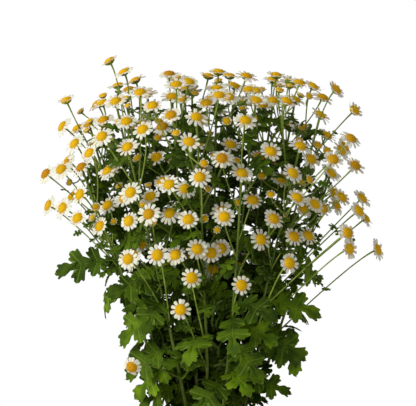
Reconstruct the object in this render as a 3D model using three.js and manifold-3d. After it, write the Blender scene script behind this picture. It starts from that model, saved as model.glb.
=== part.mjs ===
// A potted feverfew, in millimetres, with +Z up and the origin at the middle of the pot's underside.
// Flowering stems stand in holes in the soil and fan out to a dome of small daisies. The side of the plant
// that carries the most flowers faces -Y. Each stem is one solid with its stalks, flower heads and leaves.

import * as THREE from "three";
import { mergeVertices } from "three/addons/utils/BufferGeometryUtils.js";
import Module from "manifold-3d";

const wasm = await Module();
wasm.setup();

// Pot and soil
const potHeight = 140;
const potRimRadius = 80;
const potFootRadius = 55;
const potWall = 6;
const potFloor = 9;
const collarHeight = 30;
const collarProud = 5;
const drainHoleRadius = 5;
const drainHoleCircle = 30;
const drainHoleCount = 3;
const soilLevel = 124;
const soilCrown = 3;
const soilFlat = 50;
const clearance = 0.35;

// Stems
const stemCount = 26;
const stemSpread = THREE.MathUtils.degToRad(20.5);
const fanApex = new THREE.Vector3(0, 0, 36);
const stemSink = 14;
const stemRadius = 1.9;
const stemHoleRadius = 3.2;
const stemTipRadius = 0.9;
const stemBow = 5;
const stalkRadius = 0.75;
const goldenAngle = Math.PI * (3 - Math.sqrt(5));

// The dome that the flower heads fill, the point they look away from, and how far those under a level then turn to
// the front, or to the back if they stand behind a line
const domeCentre = new THREE.Vector3(-6, 0, 347);
const domeHalfWidth = 134;
const domeHalfDepth = 106;
const domeRise = 112;
const domeDrop = 76;
const headLayer = 40;
const frontShare = 0.95;
const facedFrom = new THREE.Vector3(-6, 0, 250);
const facedTurn = 0.42;
const facedLevel = 475;
const facedFade = 40;
const facedBackLine = 45;

// Flower heads
const headCount = 171;
const headRadius = 11.4;
const discRadius = 5.3;
const discRise = 2.2;
const petalCount = 5;
const headsUp = 0.85;
const neckLength = 18;

// Heads at the dome's edge and clear of it, as x, y and z of the head's middle
const strayHeads = [
  [-94, -20, 472], [-80, -34, 462], [-39, -34, 460], [6, -18, 462], [31, -40, 458], [59, -14, 459],
  [79, -44, 452], [93, -10, 449], [112, -44, 446], [-136, 14, 436], [-139, 6, 412], [-152, -28, 369],
  [-136, -56, 374], [-118, -70, 352], [-151, -10, 339], [-136, -34, 338], [-121, -58, 330], [130, -30, 427],
  [125, -58, 402], [128, -70, 378], [107, -88, 384], [138, -18, 346], [133, -46, 336], [143, 8, 326],
  [124, -52, 302], [152, -22, 299], [121, -74, 318], [-28, -92, 251], [26, -96, 273], [-72, -78, 198],
  [-74, -96, 296], [-18, -112, 281], [68, -100, 293], [-48, -112, 301],
];

// Leaves
const leafCount = 34;
const leafThickness = 0.8;
const leafFold = 0.2;
const leafLong = 60;
const leafShort = 38;
const leafConeFoot = 74;
const leafSlope = 0.38;
const edgeSlope = 0.6;
const leafLow = 152;
const leafHigh = 316;
const leafRounds = 4;
const leafTries = 160;
const innerStems = 9;

// Large leaves that shape the plant below the dome: x, y and z near the foot, then turn, pitch, bend and roll in
// radians, and length. Each may be shifted and turned by up to half of edgeShift and edgeTurn to be clear of the rest.
const edgeTries = 120;
const edgeShift = 36;
const edgeTurn = 1.6;
const edgeLeaves = [
  [-74, -24, 290, 3.3, -0.05, 0.6, -0.9, 60], [-62, -30, 248, 3.5, -0.5, 0.7, -0.8, 58],
  [-46, -34, 212, 3.4, -0.4, 0.8, -0.9, 56], [-36, -26, 176, 3.4, -0.3, 0.7, -0.8, 46],
  [84, -14, 284, -0.2, 0.1, 1.8, 0.9, 50], [58, -30, 252, -0.4, 0.1, 0.9, 0.7, 58],
  [46, -28, 222, -0.5, -0.2, 0.8, 0.8, 54], [36, -24, 178, -0.4, 0, 0.7, 0.7, 46],
  [-30, -50, 270, -2.7, 0.35, 0.9, -0.7, 54], [18, -50, 258, -0.6, 0.3, 1, 0.7, 52],
  [-8, -44, 232, -2, 0.5, 1.4, 0.1, 56], [26, -40, 216, -0.9, -0.3, 0.9, 0.5, 54],
  [-26, -58, 200, -2.7, -0.1, 0.8, -0.5, 52], [8, -60, 190, -1.2, 0.2, 1.2, 0.3, 48],
  [0, -66, 246, -1.7, -0.5, 0.9, 0.2, 50],
];

// One half of a leaf as shares of its length: its stalk, two lobes and half the end lobe, then back along its rib
const leafEdge = [
  [0, 0.018], [0.2, 0.025], [0.24, 0.24], [0.38, 0.28], [0.43, 0.07],
  [0.53, 0.31], [0.67, 0.26], [0.7, 0.08], [0.86, 0.17], [1, 0],
];
const leafRib = [[0.53, 0], [0, 0]];

// Draws from 0 to 1 by the Lehmer rule, the same on every run.
function seeded(seed) {
  let state = seed;
  return () => {
    state = (state * 48271) % 2147483647;
    return state / 2147483647;
  };
}

const vector = (x, y, z) => new THREE.Vector3(x, y, z);
const along = (start, direction, distance) => start.clone().addScaledVector(direction, distance);

// The dome's half-width at a height over its middle, as a share of its full half-width. The dome is flat on top
// and round below.
function domeReach(up) {
  if (up > 0) return Math.max(0, 1 - (up / domeRise) ** 4) ** 0.25;
  return Math.sqrt(Math.max(0, 1 - (up / domeDrop) ** 2));
}

// True where p lies in the dome once that is shrunk to a share of its size.
function inDome(p, share) {
  const offset = p.clone().sub(domeCentre).divideScalar(share);
  return Math.hypot(offset.x / domeHalfWidth, offset.y / domeHalfDepth) < domeReach(offset.z);
}

// The way a head at p looks, off true by the two draws. Those on top look up, and those lower down look out.
function facingAt(p, drawA, drawB) {
  const sway = 0.5;
  const out = p.clone().sub(facedFrom).normalize();
  const turn = facedTurn * THREE.MathUtils.clamp((facedLevel - p.z) / facedFade, 0, 1);
  const toBack = p.y > facedBackLine ? turn : -turn;
  return out.add(vector(sway * (drawA - 0.5), toBack, sway * (drawB - 0.5))).normalize();
}

// Stem number k: its foot in the soil, its direction on the fan, its tip on the dome and its slightly bowed path.
function stemAt(k, random) {
  const lean = stemSpread * Math.sqrt((k + 0.5) / stemCount);
  const azimuth = k * goldenAngle;
  const direction = vector(Math.sin(lean) * Math.cos(azimuth),
    Math.sin(lean) * Math.sin(azimuth) * domeHalfDepth / domeHalfWidth, Math.cos(lean)).normalize();
  const foot = along(fanApex, direction, (soilLevel - stemSink - fanApex.z) / direction.z);
  let reach = 310;
  while (inDome(along(fanApex, direction, reach), 0.9)) reach += 2;
  const tip = along(fanApex, direction, reach - 12 * random());
  const middle = foot.clone().lerp(tip, 0.5).add(
    vector(stemBow * (2 * random() - 1), stemBow * (2 * random() - 1), 0));
  return { number: k, direction, foot, tip, path: new THREE.QuadraticBezierCurve3(foot, middle, tip) };
}

// The stalk from a stem to a head: it leaves the stem below the head and ends in a short neck in line with it.
function stalkTo(stem, centre, facing) {
  const span = stem.tip.distanceTo(stem.foot);
  const offset = centre.clone().sub(stem.foot);
  const height = offset.dot(stem.direction);
  const aside = Math.sqrt(Math.max(0, offset.lengthSq() - height * height));
  const share = THREE.MathUtils.clamp((height - 16 - 1.25 * aside) / span, 0.25, 0.86);
  return new THREE.QuadraticBezierCurve3(stem.path.getPoint(share), along(centre, facing, -neckLength), centre);
}

// Points 3 mm apart on a curve.
function beadsOn(curve) {
  return curve.getPoints(Math.ceil(curve.getLength() / 3));
}

// What has been placed so far, against which each new piece is tested.
const placed = { beads: [], heads: [], leaves: [], leafPoints: [] };

// True where one of the points comes within a gap of the chosen beads.
function nearBead(points, gap, chosen) {
  const close = (bead) => points.some((point) => bead.p.distanceToSquared(point.p) < gap * gap);
  return placed.beads.some((bead) => chosen(bead) && close(bead));
}

// True where p comes within a head's flat disc of space.
function inHead(p, head) {
  const offset = p.clone().sub(head.centre);
  const rise = offset.dot(head.facing);
  return Math.abs(rise) < 4 && offset.lengthSq() - rise * rise < (head.radius + 1.2) ** 2;
}

// Two heads are clear if they lie side by side, or if one lies in front of the other.
function headsClear(a, b) {
  const offset = a.centre.clone().sub(b.centre);
  const tilt = Math.sqrt(Math.max(0, 1 - a.facing.dot(b.facing) ** 2));
  const layers = Math.min(Math.abs(offset.dot(a.facing)), Math.abs(offset.dot(b.facing)));
  return offset.length() > a.radius + b.radius || layers > 5.5 + headRadius * tilt;
}

function nearestStem(stems, ray) {
  return stems.reduce((best, stem) => (stem.direction.dot(ray) > best.direction.dot(ray) ? stem : best));
}

// Adds a head to the nearest stem, unless it or its stalk would touch what is there.
function tryHead(stems, centre, facing, radius) {
  const stem = nearestStem(stems, centre.clone().sub(fanApex).normalize());
  const head = { centre, facing, radius, stem: stem.number, path: stalkTo(stem, centre, facing) };
  const beads = beadsOn(head.path).map((p, k, all) => (
    { p, stem: stem.number, main: false, free: k > all.length * 0.35 }));
  if (placed.heads.some((other) => !headsClear(head, other))) return false;
  if (placed.beads.some((bead) => inHead(bead.p, head))) return false;
  if (beads.some((bead) => placed.heads.some((other) => inHead(bead.p, other)))) return false;
  if (nearBead(beads, 3.6, (bead) => bead.stem !== stem.number)) return false;
  const freeBeads = beads.filter((bead) => bead.free);
  if (nearBead(freeBeads, 3, (bead) => bead.stem === stem.number && bead.free)) return false;
  placed.heads.push(head);
  placed.beads.push(...beads);
  return true;
}

// Every stem with its end head, then the strays, then heads at random in the dome's outer layer, which is deepest on
// top, so that they cover the dome as seen from the front.
function growHeads() {
  const random = seeded(109);
  const anyRadius = () => headRadius * (0.8 + 0.2 * random());
  const stems = Array.from({ length: stemCount }, (_, k) => stemAt(k, random));
  for (const stem of stems) {
    const facing = facingAt(stem.tip, random(), random());
    const head = { centre: stem.tip, facing, radius: headRadius, stem: stem.number, path: null };
    placed.heads.push(head);
    const beads = beadsOn(stem.path).slice(0, -3);
    placed.beads.push(...beads.map((p) => ({ p, stem: stem.number, main: true, free: true })));
  }
  for (const [x, y, z] of strayHeads) {
    const centre = vector(x, y, z);
    tryHead(stems, centre, facingAt(centre, random(), random()), anyRadius());
  }
  for (let trial = 0; trial < 16000 && placed.heads.length < headCount; trial++) {
    const across = 2 * random() - 1;
    const up = THREE.MathUtils.lerp(-domeDrop, domeRise, random() ** headsUp);
    const side = random() < frontShare ? -1 : 1;
    const layer = THREE.MathUtils.lerp(headLayer, domeHalfDepth, Math.max(0, up / domeRise));
    const depth = layer * random();
    const drawA = random();
    const drawB = random();
    const radius = anyRadius();
    const chord = domeReach(up) ** 2 - across ** 2;
    if (chord < 0) continue;
    const centre = domeCentre.clone().add(
      vector(domeHalfWidth * across, side * (domeHalfDepth * Math.sqrt(chord) - depth), up));
    tryHead(stems, centre, facingAt(centre, drawA, drawB), radius);
  }
  return stems;
}

// A point of a leaf from its place in the flat outline, in shares of its length, and its height in the blade, in
// millimetres. The blade bends down in an arc along its length and folds up on both sides of its rib.
function leafPoint(leaf, u, v, w) {
  const bent = leaf.bend * u;
  const arc = leaf.length / leaf.bend;
  const x = arc * Math.sin(bent);
  const z = -arc * (1 - Math.cos(bent)) + leaf.length * leafFold * Math.abs(v);
  return leaf.root.clone()
    .addScaledVector(leaf.forward, x + w * Math.sin(bent))
    .addScaledVector(leaf.side, leaf.length * v)
    .addScaledVector(leaf.up, z + w * Math.cos(bent));
}

// Test points spread over a leaf's blade.
function leafTestPoints(leaf) {
  const points = [];
  for (let u = 0.04; u < 1.01; u += 0.08) {
    const half = u < 0.22 || u > 0.98 ? 0 : 0.31 - 0.4 * Math.max(0, u - 0.65);
    for (let v = half ? -1 : 1; v <= 1; v += 0.25) points.push(leafPoint(leaf, u, v * half, 0));
  }
  return points;
}

// True where a leaf stays in a cone over the pot that widens by a slope, above the rim and the soil, and clear of
// stalks, heads and leaves.
function leafClear(leaf, points, slope) {
  const out = (p) => Math.hypot(p.x, p.y);
  if (points.some((p) => out(p) > leafConeFoot + slope * (p.z - leafLow))) return false;
  if (points.some((p) => p.z < soilLevel + 8)) return false;
  if (points.some((p) => p.z < potHeight + 5 && out(p) < potRimRadius + 4)) return false;
  const inTheWay = (bead) => bead.stem !== leaf.stem || (bead.free && !bead.main);
  if (nearBead(points.map((p) => ({ p })), 4.8, inTheWay)) return false;
  if (points.some((p) => placed.heads.some((head) => inHead(p, head)))) return false;
  return !placed.leafPoints.some((q) => points.some((p) => p.distanceToSquared(q) < 5.4 ** 2));
}

// A leaf that leaves a stem at a height: turned round the stem, pitched up, bent down along its length and rolled
// about it.
function leafOn(stem, height, turn, pitch, bend, roll, length) {
  const root = stem.path.getPoint((height - stem.foot.z) / (stem.tip.z - stem.foot.z));
  const forward = vector(Math.cos(turn) * Math.cos(pitch), Math.sin(turn) * Math.cos(pitch), Math.sin(pitch));
  const level = vector(-Math.sin(turn), Math.cos(turn), 0);
  const side = level.clone().applyAxisAngle(forward, roll);
  return { stem: stem.number, root, forward, side, up: forward.clone().cross(side), length, bend };
}

// Keeps a leaf if it is clear of all that is there.
function tryLeaf(leaf, slope) {
  const points = leafTestPoints(leaf);
  if (!leafClear(leaf, points, slope)) return false;
  placed.leaves.push(leaf);
  placed.leafPoints.push(...points);
  return true;
}

// The edge leaves, then leaves up each stem, most on the outer ones. They are long at the foot and short near
// the flowers, and are turned until they are clear of the rest.
function growLeaves(stems) {
  const random = seeded(977);
  for (const [x, y, z, turn, pitch, ...pose] of edgeLeaves) {
    for (let attempt = 0; attempt < edgeTries; attempt++) {
      const off = () => (attempt / edgeTries) * (random() - 0.5);
      const ray = vector(x + edgeShift * off(), y + edgeShift * off(), z).sub(fanApex).normalize();
      const stem = nearestStem(stems, ray);
      const leaf = leafOn(stem, z + edgeShift * off(), turn + edgeTurn * off(), pitch + edgeTurn * off(), ...pose);
      if (tryLeaf(leaf, edgeSlope)) break;
    }
  }
  for (let round = 0; round < leafRounds; round++)
    for (const stem of stems.slice(round ? innerStems : 0).reverse())
      for (let attempt = 0; attempt < leafTries && placed.leaves.length < leafCount; attempt++) {
        const share = ((round + random()) / leafRounds) ** 1.2;
        const turn = Math.atan2(stem.direction.y, stem.direction.x) + 3 * (random() - 0.5);
        const pitch = 1.1 * random() - 0.5;
        const bend = 0.7 + random();
        const roll = 0.6 * Math.cos(turn) + 0.8 * (random() - 0.5);
        const height = THREE.MathUtils.lerp(leafLow, leafHigh, share);
        const length = THREE.MathUtils.lerp(leafLong, leafShort, share);
        if (tryLeaf(leafOn(stem, height, turn, pitch, bend, roll, length), leafSlope)) break;
      }
}

// A manifold-3d solid from a geometry that is one closed surface.
function solidOf(geometry) {
  const plain = geometry.clone();
  plain.deleteAttribute("normal");
  plain.deleteAttribute("uv");
  const merged = mergeVertices(plain, 1e-4);
  return new wasm.Manifold(new wasm.Mesh({
    numProp: 3,
    vertProperties: new Float32Array(merged.attributes.position.array),
    triVerts: new Uint32Array(merged.index.array),
  }));
}

// A three.js geometry from a manifold-3d solid.
function geometryOf(solid) {
  const mesh = solid.getMesh();
  const geometry = new THREE.BufferGeometry();
  geometry.setAttribute("position", new THREE.BufferAttribute(new Float32Array(mesh.vertProperties), 3));
  geometry.setIndex(new THREE.BufferAttribute(new Uint32Array(mesh.triVerts), 1));
  geometry.computeVertexNormals();
  return geometry;
}

// Joins two rings of vertex numbers with triangles. Both run the same way round and start on the same side.
function stitch(faces, lower, upper) {
  let i = 0;
  let j = 0;
  while (i < lower.length || j < upper.length) {
    const a = lower[i % lower.length];
    const b = upper[j % upper.length];
    const lowerNext = i < lower.length && (i + 1) / lower.length <= (j + 1) / upper.length;
    if (lowerNext || j >= upper.length) faces.push(a, lower[++i % lower.length], b);
    else faces.push(a, upper[++j % upper.length], b);
  }
}

// A closed skin over a row of rings of points, with a flat end at each side.
function skinOver(rings) {
  const positions = [];
  const faces = [];
  const numbered = rings.map((ring) => ring.map((p) => positions.push(p.x, p.y, p.z) / 3 - 1));
  for (let k = 1; k < numbered.length; k++) stitch(faces, numbered[k - 1], numbered[k]);
  const first = numbered[0];
  const last = numbered[numbered.length - 1];
  for (let i = 2; i < first.length; i++) faces.push(first[0], first[i], first[i - 1]);
  for (let i = 2; i < last.length; i++) faces.push(last[0], last[i - 1], last[i]);
  const geometry = new THREE.BufferGeometry();
  geometry.setAttribute("position", new THREE.Float32BufferAttribute(positions, 3));
  geometry.setIndex(faces);
  return geometry;
}

// Rings of a stem or stalk along a curve, narrowing from its foot to its tip.
function ringsAlong(curve, steps, sides, footRadius, tipRadius) {
  const frames = curve.computeFrenetFrames(steps, false);
  return Array.from({ length: steps + 1 }, (_, k) => {
    const middle = curve.getPointAt(k / steps);
    const radius = THREE.MathUtils.lerp(footRadius, tipRadius, k / steps);
    return Array.from({ length: sides }, (_, s) => {
      const angle = (2 * Math.PI * s) / sides;
      return along(middle, frames.normals[k], radius * Math.cos(angle))
        .addScaledVector(frames.binormals[k], radius * Math.sin(angle));
    });
  });
}

// Rings of a daisy that carries on from a stalk: the petals' notched edge, then the raised disc's rim.
function headRings(head, curve) {
  const start = curve.computeFrenetFrames(1, false).normals[1];
  const sideways = start.clone().addScaledVector(head.facing, -start.dot(head.facing)).normalize();
  const other = head.facing.clone().cross(sideways);
  const pointAt = (radius, angle, rise) => along(head.centre, head.facing, rise)
    .addScaledVector(sideways, radius * Math.cos(angle)).addScaledVector(other, radius * Math.sin(angle));
  const petalAngle = (2 * Math.PI) / petalCount;
  const edge = [];
  const rim = [];
  for (let k = 0; k < petalCount; k++) {
    const turn = k * petalAngle;
    edge.push(pointAt(discRadius, turn, 0.3));
    edge.push(pointAt(head.radius, turn + 0.22 * petalAngle, 0));
    edge.push(pointAt(head.radius, turn + 0.78 * petalAngle, 0));
    rim.push(pointAt(discRadius * 0.86, turn, discRise));
  }
  return [edge, rim];
}

// The cut, arched blade of one leaf, folded along its rib, with the same triangles on its upper and lower face.
function leafGeometry(leaf) {
  const half = [...leafEdge, ...leafRib];
  const flip = ([u, v]) => [u, -v];
  const outline = [...leafEdge, ...leafEdge.slice(0, -1).reverse().map(flip), [0, 0]];
  const faces = THREE.ShapeUtils.triangulateShape(half.map(([u, v]) => new THREE.Vector2(u, v)), []);
  const positions = [];
  const addFace = (...corners) => {
    for (const [[u, v], side] of corners) {
      positions.push(...leafPoint(leaf, u, v, (side * leafThickness) / 2).toArray());
    }
  };
  for (const [a, b, c] of faces.map((face) => face.map((k) => half[k]))) {
    addFace([a, 1], [b, 1], [c, 1]);
    addFace([a, -1], [c, -1], [b, -1]);
    addFace([flip(a), 1], [flip(c), 1], [flip(b), 1]);
    addFace([flip(a), -1], [flip(b), -1], [flip(c), -1]);
  }
  outline.forEach((a, k) => {
    const b = outline[(k + 1) % outline.length];
    addFace([a, 1], [b, 1], [b, -1]);
    addFace([a, 1], [b, -1], [a, -1]);
  });
  const geometry = new THREE.BufferGeometry();
  geometry.setAttribute("position", new THREE.Float32BufferAttribute(positions, 3));
  return geometry;
}

// One stem with its end head, its other stalks and heads, and its leaves, joined into one solid.
function flowerStem(stem) {
  const heads = placed.heads.filter((head) => head.stem === stem.number);
  const pieces = heads.map((head) => {
    const limb = head.path ? ringsAlong(head.path, 2, 3, stalkRadius, stalkRadius)
      : ringsAlong(stem.path, 3, 5, stemRadius, stemTipRadius);
    return skinOver([...limb, ...headRings(head, head.path ?? stem.path)]);
  });
  const blades = placed.leaves.filter((leaf) => leaf.stem === stem.number).map(leafGeometry);
  return [...pieces, ...blades].map(solidOf).reduce((joined, piece) => joined.add(piece));
}

function lathe(profile, segments) {
  const geometry = new THREE.LatheGeometry(profile.map(([r, z]) => new THREE.Vector2(r, z)), segments);
  return geometry.rotateX(Math.PI / 2);
}

const bodyRadiusAt = (z) => THREE.MathUtils.lerp(potFootRadius, potRimRadius - collarProud, z / potHeight);

// The clay pot: a tapered body, a collar round its top, and drain holes in its floor.
function pot() {
  const collarFoot = potHeight - collarHeight;
  const inside = (z) => bodyRadiusAt(z) - potWall;
  const walls = solidOf(lathe([
    [0, 0], [potFootRadius - 2, 0], [potFootRadius, 2], [bodyRadiusAt(collarFoot), collarFoot],
    [potRimRadius - 2, collarFoot + 2], [potRimRadius, potHeight - 3], [potRimRadius - 2.5, potHeight],
    [inside(potHeight) + 1.5, potHeight], [inside(potHeight), potHeight - 2],
    [inside(potFloor), potFloor], [0, potFloor],
  ], 24));
  const holes = Array.from({ length: drainHoleCount }, (_, k) => {
    const turn = (2 * Math.PI * k) / drainHoleCount;
    const drill = new THREE.CylinderGeometry(drainHoleRadius, drainHoleRadius, 3 * potFloor, 6);
    drill.rotateX(Math.PI / 2);
    return solidOf(drill.translate(drainHoleCircle * Math.cos(turn), drainHoleCircle * Math.sin(turn), 0));
  });
  return holes.reduce((rest, hole) => rest.subtract(hole), walls);
}

// The soil: a plug that fills the pot, with a plain hole for each stem.
function soil(stems) {
  const edge = (z) => bodyRadiusAt(z) - potWall - clearance;
  const low = potFloor + clearance;
  const top = soilLevel + soilCrown;
  const plug = solidOf(lathe([
    [0, low], [edge(low), low], [edge(soilLevel), soilLevel], [soilFlat, top], [0, top],
  ], 24));
  const holes = stems.map((stem) => {
    const start = along(stem.foot, stem.direction, -clearance);
    const end = along(stem.foot, stem.direction, 2 * stemSink);
    const line = new THREE.LineCurve3(start, end);
    return solidOf(skinOver(ringsAlong(line, 1, 5, stemHoleRadius, stemHoleRadius)));
  });
  return holes.reduce((rest, hole) => rest.subtract(hole), plug);
}

const clay = new THREE.MeshStandardMaterial({ color: "#b5683f", roughness: 0.9, metalness: 0 });
const earth = new THREE.MeshStandardMaterial({ color: "#3a2a1e", roughness: 1, metalness: 0 });
const foliage = new THREE.MeshStandardMaterial({ color: "#4f7a22", roughness: 0.6, metalness: 0 });

const plant = new THREE.Group();

function addPiece(name, solid, material) {
  const mesh = new THREE.Mesh(geometryOf(solid), material);
  mesh.name = name;
  plant.add(mesh);
}

const stems = growHeads();
growLeaves(stems);
addPiece("pot", pot(), clay);
addPiece("soil", soil(stems), earth);
for (const stem of stems) {
  const name = "flower_stem_" + String(stem.number + 1).padStart(2, "0");
  addPiece(name, flowerStem(stem), foliage);
}

export default plant;
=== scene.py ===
# %% [markdown]
# # A feverfew in a clay pot
# Feverfew is a bushy herb. Many thin stems rise from the soil, carry cut leaves low down, and branch at the
# top into a dome of small daisies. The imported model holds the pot, the soil and one plain faceted solid for
# each flower stem. This script grows the fine plant over those solids, by the same rule, so each daisy and
# each large leaf lies where its solid is. Lengths are in millimetres until a mesh is made, because that is
# how a plant this small is measured.

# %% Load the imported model
import math

import bpy
import numpy as np
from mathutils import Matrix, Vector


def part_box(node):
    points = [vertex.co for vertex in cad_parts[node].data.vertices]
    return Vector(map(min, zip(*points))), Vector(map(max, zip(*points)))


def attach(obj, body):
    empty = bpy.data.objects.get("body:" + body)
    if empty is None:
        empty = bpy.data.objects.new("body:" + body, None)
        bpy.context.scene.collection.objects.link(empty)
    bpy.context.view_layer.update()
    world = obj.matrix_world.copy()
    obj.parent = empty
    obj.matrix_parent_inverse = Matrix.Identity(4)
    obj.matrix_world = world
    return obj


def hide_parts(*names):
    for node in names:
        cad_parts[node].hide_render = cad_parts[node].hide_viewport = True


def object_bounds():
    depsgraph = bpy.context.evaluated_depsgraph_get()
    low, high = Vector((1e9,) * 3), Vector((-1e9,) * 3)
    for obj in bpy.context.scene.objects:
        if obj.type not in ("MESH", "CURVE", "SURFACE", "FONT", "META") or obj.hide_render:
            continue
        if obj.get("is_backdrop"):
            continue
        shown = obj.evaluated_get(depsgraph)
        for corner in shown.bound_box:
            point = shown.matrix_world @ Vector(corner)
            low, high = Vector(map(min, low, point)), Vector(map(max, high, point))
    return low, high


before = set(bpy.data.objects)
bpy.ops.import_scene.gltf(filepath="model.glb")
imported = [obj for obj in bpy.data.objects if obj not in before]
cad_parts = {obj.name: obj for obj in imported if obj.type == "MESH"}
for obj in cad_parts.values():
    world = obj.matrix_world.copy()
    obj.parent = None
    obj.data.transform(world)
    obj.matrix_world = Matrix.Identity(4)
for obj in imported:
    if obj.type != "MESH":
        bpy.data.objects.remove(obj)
cad_low, cad_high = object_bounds()
millimetre = 0.001
stem_nodes = sorted(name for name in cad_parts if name.startswith("flower_stem_"))
print("flower stems in the frame:", len(stem_nodes))

# %% [markdown]
# ## Chance that is the same on every run
# A plant looks grown only when nothing repeats exactly, so places and poses are drawn at random. The draws
# for places have to agree with the solids, so they come from the simple Lehmer rule that made those. Draws
# that only vary the looks come from numpy, with a fixed seed.

# %% Draws and vectors
def seeded(seed):
    """Numbers from 0 to 1 by the Lehmer rule: each state is 48271 times the last, modulo 2^31 - 1."""
    state = seed
    while True:
        state = state * 48271 % 2147483647
        yield state / 2147483647


def unit(v):
    """The vectors of v at length 1."""
    return v / np.maximum(np.linalg.norm(v, axis=-1, keepdims=True), 1e-12)


def mix(a, b, share):
    """The value that lies at a share of the way from a to b."""
    return a + (b - a) * share


def curve_at(path, share):
    """Points at a share t of a curve whose middle point pulls it aside: (1-t)^2 a + 2(1-t)t b + t^2 c."""
    t = np.asarray(share, float)[..., None]
    a, b, c = (path[..., k, :] for k in range(3))
    if path.ndim > 2:
        a, b, c = (end[..., None, :] for end in (a, b, c))
    return (1 - t) ** 2 * a + 2 * (1 - t) * t * b + t ** 2 * c


def full_turn(steps):
    """The angles of a full turn in equal steps."""
    return np.linspace(0, 2 * math.pi, steps, endpoint=False)


def side_by_side(*values):
    """Arrays spread to one shape and set side by side in a last axis."""
    return np.stack(np.broadcast_arrays(*values), -1)


def of_all(some, key):
    """What each of some daisies, leaves or parts has under a key, as one array."""
    return np.array([each[key] for each in some])


looks = np.random.default_rng(26)

# %% [markdown]
# ## Where the stems stand
# The stems fan out from a point under the soil to the underside of a dome. Their azimuths turn by the
# golden angle, as in a sunflower, which spreads any number of them evenly without rows.

# %% Stems
stem_spread = math.radians(20.5)
golden_angle = math.pi * (3 - math.sqrt(5))
fan_apex = np.array([0.0, 0.0, 36.0])
soil_level, stem_sink, stem_bow = 124, 14, 5
first_reach, reach_step, tip_share, tip_scatter = 310, 2, 0.9, 12
dome_centre = np.array([-6.0, 0.0, 347.0])
dome_half_width, dome_half_depth, dome_rise, dome_drop = 134, 106, 112, 76


def dome_reach(up):
    """The dome's half-width at a height, in shares of the full one: flat on top and round below."""
    if up > 0:
        return max(0, 1 - (up / dome_rise) ** 4) ** 0.25
    return math.sqrt(max(0, 1 - (up / dome_drop) ** 2))


def in_dome(p, share):
    """True where p lies in the dome shrunk to a share of its size."""
    x, y, z = (p - dome_centre) / share
    return math.hypot(x / dome_half_width, y / dome_half_depth) < dome_reach(z)


def stem_at(k, draw):
    """Stem number k: its direction on the fan and its bowed path from its foot in the soil to its tip."""
    lean = stem_spread * math.sqrt((k + 0.5) / len(stem_nodes))
    azimuth = k * golden_angle
    direction = unit(np.array([
        math.sin(lean) * math.cos(azimuth),
        math.sin(lean) * math.sin(azimuth) * dome_half_depth / dome_half_width,
        math.cos(lean),
    ]))
    foot = fan_apex + direction * (soil_level - stem_sink - fan_apex[2]) / direction[2]
    reach = first_reach
    while in_dome(fan_apex + direction * reach, tip_share):
        reach += reach_step
    tip = fan_apex + direction * (reach - tip_scatter * next(draw))
    bow = np.array([stem_bow * (2 * next(draw) - 1), stem_bow * (2 * next(draw) - 1), 0])
    return {"number": k, "direction": direction, "path": np.array([foot, (foot + tip) / 2 + bow, tip])}


def nearest_stem(ray):
    """The stem whose direction on the fan is closest to a ray."""
    return stems[int(np.argmax([stem["direction"] @ ray for stem in stems]))]


place_draw = seeded(109)
stems = [stem_at(k, place_draw) for k in range(len(stem_nodes))]
tip_heights = [round(stem["path"][2, 2]) for stem in stems]
print("stem tips from", min(tip_heights), "to", max(tip_heights), "mm up")

# %% [markdown]
# ## Where the daisies stand
# Each stem ends in a daisy, and the others stand on stalks that leave the stems below them. Daisies at the
# edge of the dome shape its outline, so their places are listed. The others fall at random in the
# dome's outer layer, which is deepest on top, and one that would touch a neighbour is dropped.

# %% Sizes and chosen places of the daisies
head_count, head_radius, neck_length = 171, 11.4, 18
head_layer, heads_up, front_share = 40, 0.85, 0.95
faced_from = np.array([-6.0, 0.0, 250.0])
faced_turn, faced_level, faced_fade, faced_back_line = 0.42, 475, 40, 45
stray_heads = [
    [-94, -20, 472], [-80, -34, 462], [-39, -34, 460], [6, -18, 462], [31, -40, 458], [59, -14, 459],
    [79, -44, 452], [93, -10, 449], [112, -44, 446], [-136, 14, 436], [-139, 6, 412], [-152, -28, 369],
    [-136, -56, 374], [-118, -70, 352], [-151, -10, 339], [-136, -34, 338], [-121, -58, 330], [130, -30, 427],
    [125, -58, 402], [128, -70, 378], [107, -88, 384], [138, -18, 346], [133, -46, 336], [143, 8, 326],
    [124, -52, 302], [152, -22, 299], [121, -74, 318], [-28, -92, 251], [26, -96, 273], [-72, -78, 198],
    [-74, -96, 296], [-18, -112, 281], [68, -100, 293], [-48, -112, 301],
]
heads = []
print("daisies with a chosen place:", len(stray_heads))

# %% [markdown]
# ## Stalks
# A stalk leaves its stem below its daisy, lower the further aside the daisy stands, and ends in a straight
# neck behind it. The curve bends where its two straight ends would meet. Its length is also kept as a row
# of beads, points a few millimetres apart, because those are easy to test against what grows nearby.

# %% Facing and stalk of a daisy
stalk_drop, stalk_slant, lowest_branch, highest_branch = 16, 1.25, 0.25, 0.86
bead_step, path_samples, tip_beads = 3, 201, 3
beads = {
    "p": np.empty((0, 3)), "stem": np.empty(0, int), "main": np.empty(0, bool), "free": np.empty(0, bool),
}


def facing_at(p, a, b):
    """The way a daisy at p looks, off true by two draws. Those on top look up, and those lower down look
    out, turned to the front, or to the back on that side."""
    sway = 0.5
    turn = faced_turn * min(max((faced_level - p[2]) / faced_fade, 0), 1)
    to_back = turn if p[1] > faced_back_line else -turn
    return unit(unit(p - faced_from) + np.array([sway * (a - 0.5), to_back, sway * (b - 0.5)]))


def stalk_to(stem, centre, facing):
    """The stalk's path: it leaves the stem below the daisy and ends in a short neck in line with it."""
    foot, tip = stem["path"][0], stem["path"][2]
    offset = centre - foot
    height = offset @ stem["direction"]
    aside = math.sqrt(max(0, offset @ offset - height ** 2))
    share = (height - stalk_drop - stalk_slant * aside) / np.linalg.norm(tip - foot)
    share = min(max(share, lowest_branch), highest_branch)
    return np.array([curve_at(stem["path"], share), centre - facing * neck_length, centre])


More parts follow.
